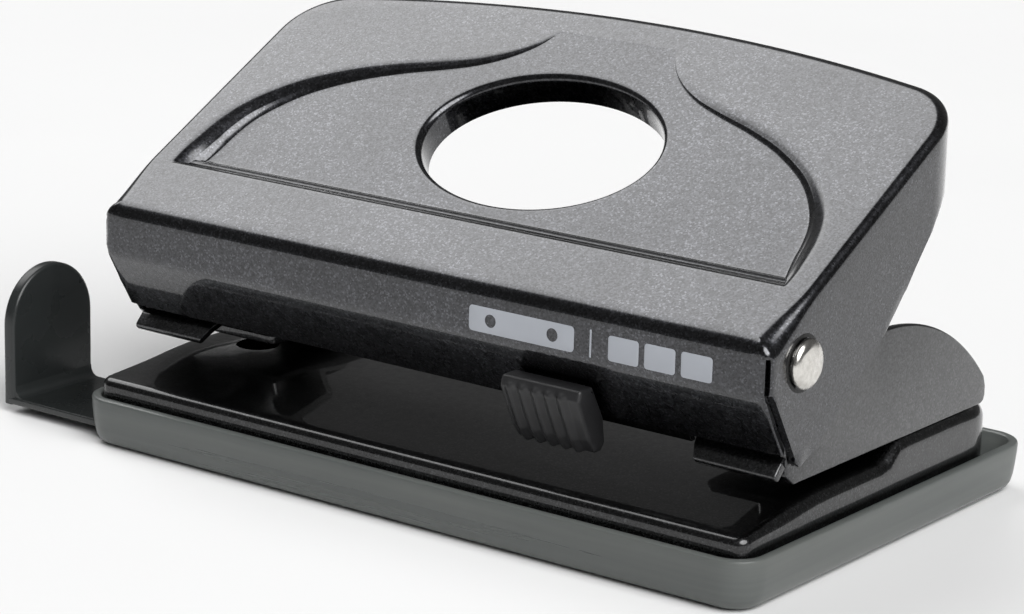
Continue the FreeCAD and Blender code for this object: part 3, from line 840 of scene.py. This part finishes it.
def base_surface():
    loop = anticlockwise(plan_outline(BASE_HALF_X, BASE_FRONT, BASE_REAR, 1.7, 7.0))
    normal = loop_normals(loop)
    radius = shoulder_radius(loop[:, 1])
    surface = Surface()
    rings = []
    for a in np.linspace(0.0, math.pi / 2, 8):
        flat = loop - normal * (radius * (1 - math.sin(a)))[:, None]
        z = deck_z(flat[:, 1]) - radius * (1 - math.cos(a))
        rings.append(surface.add([place(x, d, h) for (x, d), h in zip(flat, z)]))
    top = deck_z(loop[:, 1]) - radius
    for t in (0.2, 0.4, 0.6, 0.8, 1.0):
        z = top + (BASE_BOTTOM - top) * t
        rings.append(surface.add([place(x, d, h) for (x, d), h in zip(loop, z)]))
    for a, b in zip(rings, rings[1:]):
        surface.bridge(b, a)
    holes = []
    for hole in pin_circles(PIN_HOLE, 36):
        holes.append((surface.add([place(x, d, deck_z(d)) for x, d in hole]), hole))
    grid = deck_points(loop - normal * (radius + 0.7)[:, None])
    rim = loop - normal * radius[:, None]
    surface.cap(rings[0], rim, lambda x, d: place(x, d, deck_z(d)), holes, grid)
    return surface


# The base wears the darkened copy of the lacquer: painted shade.
piece("base_shell", thicken(base_surface(), BASE_SHEET), "base", BASE_LACQUER_PAINTED_SHADE,
      ["base_plate"], sharp=38.0)


# ---- bracket ----------------------------------------------------------------------------------

PIVOT = (7.0, 27.3)        # depth and height of the handle's hinge
BOSS = 3.8
EAR_OUT = 48.7
EAR_T = 1.0
PLATE = 1.2
EAR_ARC = (27.0, -6.1, 32.9)       # depth, height and radius of the cheek's long arc
WALL_FRONT = 7.6
WALL_TOP = 22.0
LIP_X = 36.0
LIP_TOP = 16.8
LIP_HEIGHT = 4.6
LIP_SLANT = 2.6            # how far the lip's lower inner corner is cut back
WEB_X = 33.0
WEB_SIDE = 47.6
WEB_FRONT = 13.4
WEB_MIDDLE = 33.5
WEB_REAR = 50.0
REAR_WALL_TOP = 17.9


def ear_outline():
    """Cheek: boss at the pivot, straight back edge to the long arc, rounded heel."""
    centre_d, centre_z, radius = EAR_ARC
    heel = [(8.4, STEP_Z), (50.9, STEP_Z), (51.6, 12.7), (51.9, 13.4), (51.9, 14.6)]
    start = math.acos((51.4 - centre_d) / radius)
    end = math.acos((26.0 - centre_d) / radius)
    arc = [(centre_d + radius * math.cos(a), centre_z + radius * math.sin(a))
           for a in np.linspace(start, end, 36)]
    boss = [(PIVOT[0] + BOSS * math.cos(a), PIVOT[1] + BOSS * math.sin(a))
            for a in np.linspace(math.radians(62), math.radians(195), 14)]
    return divided(np.array(heel + arc + boss + [(6.4, 17.6), (6.6, 13.8)]), 1.2)


def flared_lip():
    """Lip under the front wall that turns forward and down; its inner end is cut on a slant."""
    foot = rounded_polygon([(7.6, LIP_TOP), (5.7, 15.6), (4.3, 14.1), (5.2, 13.3), (6.5, 14.6),
                            (8.8, 15.9), (8.8, LIP_TOP)], [0.1, 0.8, 0.5, 0.5, 0.8, 0.3, 0.1], 4)

    def lift(u, v, w):
        slant = LIP_SLANT * (LIP_TOP - v) / LIP_HEIGHT * min(max((39.0 - w) / 3.0, 0.0), 1.0)
        return place(w + slant, u, v)

    return prism(foot, LIP_X, EAR_OUT - 0.1, lift, 0.25)


def seat_web():
    """Web on the base's seat: a pad under each pin, joined along the rear."""
    plan = [(-WEB_SIDE, WEB_FRONT), (-WEB_X, WEB_FRONT), (-WEB_X, WEB_MIDDLE), (WEB_X, WEB_MIDDLE),
            (WEB_X, WEB_FRONT), (WEB_SIDE, WEB_FRONT), (WEB_SIDE, WEB_REAR), (-WEB_SIDE, WEB_REAR)]
    outline = divided(rounded_polygon(plan, 1.0, 4), 4.0)
    return prism(outline, STEP_Z, STEP_Z + PLATE, upright, 0.2, pin_circles(PIN_HOLE, 32))


def upright_wall(front, rear, foot_front, foot_rear, top, half_x):
    section = [(front, foot_front), (rear, foot_rear), (rear, top), (front, top)]
    return prism(rounded_polygon(section, 0.3, 4), -half_x, half_x, across, 0.2)


def bracket_surface():
    ear = prism(ear_outline(), EAR_OUT - EAR_T, EAR_OUT, across, 0.28)
    wall = upright_wall(WALL_FRONT, WALL_FRONT + PLATE, 16.4, 16.0, WALL_TOP, EAR_OUT - 0.6)
    lip = flared_lip()
    foot_z = STEP_Z + 0.1
    rear_wall = upright_wall(WEB_REAR - PLATE, WEB_REAR, foot_z, foot_z, REAR_WALL_TOP, 47.0)
    return joined(ear, mirrored(ear), wall, lip, mirrored(lip), seat_web(), rear_wall)


piece("bracket", bracket_surface(), "base", BRACKET_LACQUER, ["punch_bracket"],
      outward=True)


# ---- pivots -----------------------------------------------------------------------------------

HEAD_FACE = 51.0           # beyond this x lies only the head's domed face
DENT = 0.05
GAP_RADIUS = 3.42
# Half section of a pivot rivet from the head's face inward, as (radius, x).
RIVET_PROFILE = [
    (0.0, 51.38), (0.5, 51.38), (1.0, 51.37), (1.5, 51.34), (2.0, 51.28), (2.35, 51.18),
    (2.62, 51.04), (2.82, 50.86), (2.93, 50.66), (2.95, 50.40), (2.90, 50.31), (2.44, 50.30),
    (2.44, 46.92), (3.15, 46.90), (3.22, 46.75), (3.22, 46.25), (3.0, 46.12), (0.0, 46.10)]


def pivot_place(u, v, w):
    """Turned form about the pivot's axis; the head's face is slightly uneven, as riveting leaves it."""
    on_face = math.hypot(u, v) < 2.4 and w > HEAD_FACE
    dent = DENT * math.sin(1.9 * u + 0.8) * math.cos(1.6 * v - 0.5) if on_face else 0.0
    return place(w + dent, PIVOT[0] + u, PIVOT[1] + v)


def pivot_pieces():
    rivet = lathe(RIVET_PROFILE, 48, pivot_place)
    for side, form in (("right", rivet), ("left", mirrored(rivet))):
        piece("pivot_rivet_shown_" + side, form, "base", RIVET_METAL,
              ["pivot_rivet_" + side], sharp=50.0, outward=True)
    # Dark matt ring round each rivet head on the handle's side plate: painted shadow, standing for the shade
    # in the clearance round the rivet.
    gap = prism(circle(*PIVOT, GAP_RADIUS, 48), 49.85, 50.05, across, 0.06, [circle(*PIVOT, 2.97, 48)])
    piece("pivot_shadow_ring", joined(gap, mirrored(gap)), "handle", SHADOW_GAP,
          sharp=50.0, outward=True)


pivot_pieces()


# ---- chip tray --------------------------------------------------------------------------------

TRAY_HALF_X = 50.8
TRAY_FRONT = -4.0
TRAY_REAR = 60.6
TRAY_CORNER = 4.5
# Section of the tray's wall as (inset from the plan's edge, height), from the floor over the rim to the foot.
TRAY_PROFILE = [
    (3.4, 0.80), (2.0, 0.83), (1.55, 1.0), (1.34, 1.4), (1.30, 3.4), (1.27, 5.9), (1.18, 6.22),
    (0.98, 6.37), (0.72, 6.40), (0.36, 6.38), (0.12, 6.26), (0.0, 6.02), (0.06, 5.0), (0.20, 3.6),
    (0.38, 2.2), (0.62, 1.25), (1.0, 0.62), (1.5, 0.24), (2.1, 0.06), (2.8, 0.0), (3.9, 0.0)]


def tray_surface():
    outline = plan_outline(TRAY_HALF_X, TRAY_FRONT, TRAY_REAR, TRAY_CORNER, TRAY_CORNER)
    loop = anticlockwise(outline)
    normal = loop_normals(loop)
    surface = Surface()
    rings = []
    for inset, z in TRAY_PROFILE:
        rings.append(surface.add([place(x, d, z) for x, d in loop - normal * inset]))
    for a, b in zip(rings, rings[1:]):
        surface.bridge(a, b)
    (first, floor_z), (last, foot_z) = TRAY_PROFILE[0], TRAY_PROFILE[-1]
    surface.cap(rings[0], loop - normal * first, lambda x, d: place(x, d, floor_z))
    surface.cap(rings[-1], loop - normal * last, lambda x, d: place(x, d, foot_z), flip=True)
    return surface


def guide_rail():
    """Hooked rail on the tray's floor that holds the paper guide's arm down."""
    hook = [(14.65, 0.7), (15.45, 0.7), (15.45, 3.2), (13.65, 3.2), (13.65, 2.45), (14.65, 2.45)]
    return prism(rounded_polygon(hook, 0.12, 3), -44.0, 30.0, across, 0.1)


piece("tray_shell", joined(tray_surface(), guide_rail()), "tray", TRAY_PLASTIC,
      ["chip_tray"], outward=True)


# ---- paper guide ------------------------------------------------------------------------------

ARM_FRONT = -0.45
ARM_REAR = 14.3
ARM_FOOT = 1.1
ARM_TOP = 2.1
ARM_END_X = 34.9
TAB_TOP = 18.8
TAB_X = (-67.4, -65.5)


def guide_surface():
    half = (ARM_REAR - ARM_FRONT) / 2
    middle = (ARM_REAR + ARM_FRONT) / 2
    crown = [(middle + half * math.cos(a), TAB_TOP - half + half * math.sin(a))
             for a in np.linspace(0, math.pi, 33)]
    foot = [(ARM_FRONT + 0.02, ARM_FOOT), (ARM_REAR - 0.02, ARM_FOOT)]
    tab = prism(divided(np.array(foot + crown), 1.5), *TAB_X, across, 0.5, steps=4)
    section = [(ARM_FRONT, ARM_FOOT), (ARM_REAR, ARM_FOOT), (ARM_REAR, ARM_TOP), (ARM_FRONT, ARM_TOP)]
    arm = prism(rounded_polygon(section, 0.28, 4), -66.6, ARM_END_X, across, 0.2)
    hollow = [(-65.7, 1.9), (-63.9, 1.95), (-63.9, 2.08), (-64.6, 2.18), (-65.1, 2.45), (-65.4, 2.95),
              (-65.5, 3.6), (-65.7, 3.6)]
    fillet = prism(hollow, ARM_FRONT + 0.25, ARM_REAR - 0.25, lambda u, v, w: place(u, w, v), 0.02)
    return joined(tab, arm, fillet)


piece("guide_shown", guide_surface(), "guide", GUIDE_PLASTIC, ["paper_guide"],
      sharp=35.0, outward=True)


# ---- lock -------------------------------------------------------------------------------------

LOCK_X0 = 14.0
LOCK_X1 = 25.4
LOCK_STRIP_X1 = 35.6
NECK_X = (16.2, 22.2)
THUMB_EDGE = 0.45          # rounding of the thumb piece's two ends
RIDGES = 5
RIDGE_HEIGHT = 0.42
THUMB_RINGS = 96


def thumb_outline():
    corners = [(-1.3, 19.6), (-0.9, 20.9), (1.6, 20.9), (3.9, 16.8), (4.4, 13.6), (3.6, 12.7),
               (2.5, 12.7), (1.2, 14.4), (-0.2, 17.2)]
    radii = [0.5, 0.5, 0.3, 1.5, 0.6, 0.4, 0.45, 1.2, 1.5]
    return anticlockwise(divided(rounded_polygon(corners, radii, 5), 0.45))


def thumb_surface():
    """Thumb piece: an S-shaped pad with upright ridges, on a neck through the flange."""
    side = thumb_outline()
    normal = loop_normals(side)
    front = smooth_step((-normal[:, 0] - 0.15) / 0.4) * smooth_step((20.4 - side[:, 1]) / 0.7)
    surface = Surface()
    rings = []
    first_x, last_x = LOCK_X0 + 0.7, LOCK_X1 - 1.5
    for x in np.linspace(LOCK_X0, LOCK_X1, THUMB_RINGS):
        near_end = min(x - LOCK_X0, LOCK_X1 - x)
        inset = THUMB_EDGE * (1 - math.sqrt(1 - (1 - min(near_end / THUMB_EDGE, 1.0)) ** 2))
        t = (x - first_x) / (last_x - first_x)
        wave = 0.5 - 0.5 * math.cos(2 * math.pi * RIDGES * t) if 0 < t < 1 else 0.0
        push = RIDGE_HEIGHT * wave ** 0.7 * front - inset
        rings.append(surface.add([place(x, u, v) for u, v in side + normal * push[:, None]]))
    for a, b in zip(rings, rings[1:]):
        surface.bridge(a, b)
    rim = side - normal * THUMB_EDGE
    surface.cap(rings[0], rim, lambda u, v: place(LOCK_X0, u, v))
    surface.cap(rings[-1], rim, lambda u, v: place(LOCK_X1, u, v), flip=True)
    neck = rounded_polygon([(1.4, 18.9), (5.2, 18.9), (4.5, 20.1), (1.4, 20.1)], 0.1, 2)
    return joined(surface, prism(neck, *NECK_X, across, 0.1))


def lock_strip():
    """Steel strip just behind the flange that carries the thumb piece."""
    section = rounded_polygon([(3.63, 21.0), (4.55, 21.0), (7.96, 15.2), (7.04, 15.2)], 0.15, 3)
    return prism(section, LOCK_X0 + 1.0, LOCK_STRIP_X1, across, 0.15)


piece("thumb_shown", thumb_surface(), "lock", CHARCOAL, ["lock_thumb"],
      sharp=40.0, outward=True)
piece("lock_strip", lock_strip(), "lock", BASE_LACQUER_PAINTED_SHADE, ["lock_plate"],
      sharp=35.0, outward=True)


# ---- return springs ---------------------------------------------------------------------------

SPRING_FOOT = 21.05
SPRING_HEAD = 31.75
WIRE_R = 0.35
COIL_R = 3.75
TURNS = 7.0
PER_TURN = 28
WIRE_SIDES = 10
END_GAP = 0.04             # between the closed end turn and the next


def spring_surface(side):
    """Cylindrical spring with its end turns closed."""
    surface = Surface()
    rings = []
    low, high = SPRING_FOOT + WIRE_R, SPRING_HEAD - WIRE_R
    closed = 2 * WIRE_R + END_GAP
    count = int(TURNS * PER_TURN)
    for i in range(count + 1):
        turn = TURNS * i / count
        z = np.interp(turn, [0.0, 1.0, TURNS - 1.0, TURNS], [low, low + closed, high - closed, high])
        a = 2 * math.pi * turn
        ring = []
        for k in range(WIRE_SIDES):
            b = 2 * math.pi * k / WIRE_SIDES
            reach = COIL_R + WIRE_R * math.cos(b)
            ring.append(place(side * PITCH / 2 + reach * math.cos(a), PIN_DEPTH + reach * math.sin(a),
                              z + WIRE_R * math.sin(b)))
        rings.append(surface.add(ring))
    for a, b in zip(rings, rings[1:]):
        surface.bridge(a, b)
    surface.faces.append(tuple(rings[0]))
    surface.faces.append(tuple(reversed(rings[-1])))
    return surface


for name, side in (("left", -1), ("right", 1)):
    coil = piece("spring_" + name, spring_surface(side), "base", SPRING,
                 ["return_spring_" + name], sharp=60.0, outward=True)
    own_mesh(coil)


# ---- marks on the front flange ----------------------------------------------------------------

MARK_FOOT = 25.0
MARK_TOP = 28.0
MARK_DEEP = 0.04           # thickness of the print
BLOCK_STARTS = (28.4, 33.4, 38.4)
BLOCK_WIDTH = 4.2


def on_flange(u, v, w):
    """Upright outline (x, height) laid on the handle's front face."""
    return place(u, -0.02 - w, v)


def printed(x0, x1, z0, z1, radius, holes=()):
    outline = rounded_polygon([(x0, z0), (x1, z0), (x1, z1), (x0, z1)], radius, 4)
    return prism(outline, 0.0, MARK_DEEP, on_flange, 0.01, holes)


def mark_surface():
    """Generic print: a sheet with two punched holes, a thin rule, and a row of plain blocks."""
    punched = [circle(x, 26.55, 0.8, 24) for x in (11.6, 20.5)]
    sheet = printed(8.5, 23.6, MARK_FOOT, MARK_TOP + 0.1, 0.5, punched)
    rule = printed(25.8, 26.05, MARK_FOOT - 0.1, MARK_TOP + 0.2, 0.05)
    blocks = [printed(x, x + BLOCK_WIDTH, MARK_FOOT, MARK_TOP, 0.4) for x in BLOCK_STARTS]
    return joined(sheet, rule, *blocks)


piece("front_mark", mark_surface(), "handle", PRINT, sharp=50.0, outward=True)


# ---- carried-over parts -----------------------------------------------------------------------

FINISHES = {"bracket_rivets": RIVET_STEEL, "pin_guide": ZINC, "pivot_washer": ZINC, "punch_pin": PIN_STEEL,
            "spring_seat": ZINC, "pin_clip": SPRING}
for name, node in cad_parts.items():
    for start, finish in FINISHES.items():
        if name.startswith(start):
            node.data.materials.clear()
            node.data.materials.append(finish)


# ---- camera, light and floor ------------------------------------------------------------------

FLOOR_HALF = 8.0
# Soft lights: aim, cosine at the dark edge, cosine at the bright core, strength outside, strength inside.
# The first one stands where the handle's top mirrors it; the second fills from the operator's right.
SOFTBOXES = [((-0.60, 0.12, 0.79), 0.90, 0.965, 0.10, 3.1), ((0.66, -0.30, 0.69), 0.86, 0.95, 0.0, 6.2)]


def studio():
    floor = bpy.data.meshes.new("floor")
    size = FLOOR_HALF
    corners = [(-size, -size, 0), (size, -size, 0), (size, size, 0), (-size, size, 0)]
    floor.from_pydata(corners, [], [(0, 1, 2, 3)])
    obj = bpy.data.objects.new("floor", floor)
    bpy.context.scene.collection.objects.link(obj)
    obj.location.z = cad_box[0][2] - 0.0001
    n = Nodes("pale_floor")
    n.colour(n.ramp(n.noise(6.0, 3.0), [(0.3, (0.80, 0.80, 0.80)), (0.7, (0.83, 0.83, 0.83))]))
    n.set(Roughness=0.9)
    floor.materials.append(n.material)

    world = bpy.data.worlds.new("studio")
    world.use_nodes = True
    tree = world.node_tree
    tree.nodes.clear()
    out = tree.nodes.new("ShaderNodeOutputWorld")
    back = tree.nodes.new("ShaderNodeBackground")
    coord = tree.nodes.new("ShaderNodeTexCoord")
    total = None
    for aim, edge, core, base, strength in SOFTBOXES:
        dot = tree.nodes.new("ShaderNodeVectorMath")
        dot.operation = "DOT_PRODUCT"
        dot.inputs[1].default_value = Vector(aim).normalized()
        tree.links.new(coord.outputs["Generated"], dot.inputs[0])
        box = tree.nodes.new("ShaderNodeMapRange")
        box.interpolation_type = "SMOOTHSTEP"
        for socket, number in zip(box.inputs[1:5], (edge, core, base, strength)):
            socket.default_value = number
        tree.links.new(dot.outputs["Value"], box.inputs[0])
        if total is None:
            total = box.outputs[0]
        else:
            both = tree.nodes.new("ShaderNodeMath")
            both.operation = "ADD"
            tree.links.new(total, both.inputs[0])
            tree.links.new(box.outputs[0], both.inputs[1])
            total = both.outputs[0]
    back.inputs["Color"].default_value = (1.0, 1.0, 1.0, 1.0)
    tree.links.new(total, back.inputs["Strength"])
    tree.links.new(back.outputs[0], out.inputs["Surface"])
    bpy.context.scene.world = world


CAMERA_PLACE = (0.24738, -0.34234, 0.13413)
CAMERA_YAW = math.radians(-36.54)      # from +Y, towards -X
CAMERA_PITCH = math.radians(-15.08)
CAMERA_ROLL = 0.0246
CAMERA_LENS = 123.2


def camera():
    data = bpy.data.cameras.new("camera")
    data.sensor_width = 36.0
    data.lens = CAMERA_LENS
    obj = bpy.data.objects.new("camera", data)
    bpy.context.scene.collection.objects.link(obj)
    level = math.cos(CAMERA_PITCH)
    ahead = Vector((math.sin(CAMERA_YAW) * level, math.cos(CAMERA_YAW) * level, math.sin(CAMERA_PITCH)))
    right = ahead.cross(Vector((0, 0, 1))).normalized()
    up = right.cross(ahead)
    c, s = math.cos(CAMERA_ROLL), math.sin(CAMERA_ROLL)
    right, up = right * c + up * s, up * c - right * s
    turn = Matrix((right, up, -ahead)).transposed().to_4x4()
    obj.matrix_world = Matrix.Translation(Vector(CAMERA_PLACE)) @ turn
    bpy.context.scene.camera = obj


studio()
camera()
bpy.context.scene.view_settings.view_transform = "Standard"
